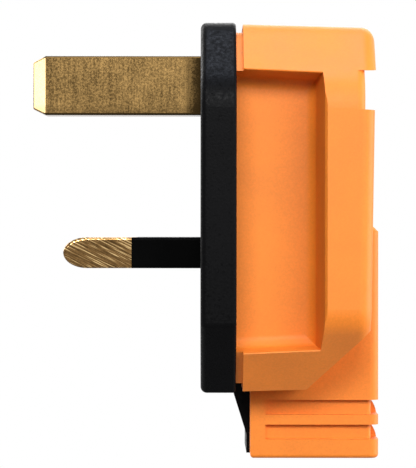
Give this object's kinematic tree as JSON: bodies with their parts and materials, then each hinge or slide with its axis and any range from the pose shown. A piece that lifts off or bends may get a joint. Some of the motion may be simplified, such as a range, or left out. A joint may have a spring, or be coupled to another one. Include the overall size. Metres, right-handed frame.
{
  "type": "mains plug",
  "caption": "Rewireable fused mains plug with brass pins, black base and orange cover with finger recesses and a ribbed cord outlet.",
  "frame": {"origin": "on the engaging face, midway between the line and neutral pins", "axes": "-X out of the engaging face along the pins, +Z towards the earth pin, +Y towards the line pin"},
  "size_m": [0.0456, 0.05, 0.0559],
  "materials": {
    "black_moulding": "fine moulded grain, black",
    "orange_moulding": "satin, orange",
    "pin_brass": "satin, brushed",
    "sleeve": "matt, black",
    "spring_bronze": "rolled sheet",
    "plated_cap": "bright plated",
    "ceramic": "glazed ceramic",
    "screw_steel": "zinc plated",
    "fibre": "vulcanised fibre"
  },
  "bodies": {
    "root": {"base": "black_moulding", "cover": "orange_moulding", "earth_pin": "pin_brass", "neutral_pin": "pin_brass", "line_pin": "pin_brass", "neutral_pin_sleeve": "sleeve", "line_pin_sleeve": "sleeve", "line_terminal": "pin_brass", "fuse_clip_lower": "spring_bronze", "fuse_clip_upper": "spring_bronze", "fuse_clip_rivets": "pin_brass", "fuse_cap_lower": "plated_cap", "fuse_cap_upper": "plated_cap", "fuse_tube": "ceramic", "fuse_element": "spring_bronze", "terminal_screws": "screw_steel", "cord_grip_bar": "fibre", "cord_grip_screws": "screw_steel", "cover_screw": "screw_steel", "cover_screw_washer": "fibre", "cover_insert": "pin_brass"}
  },
  "joints": []
}
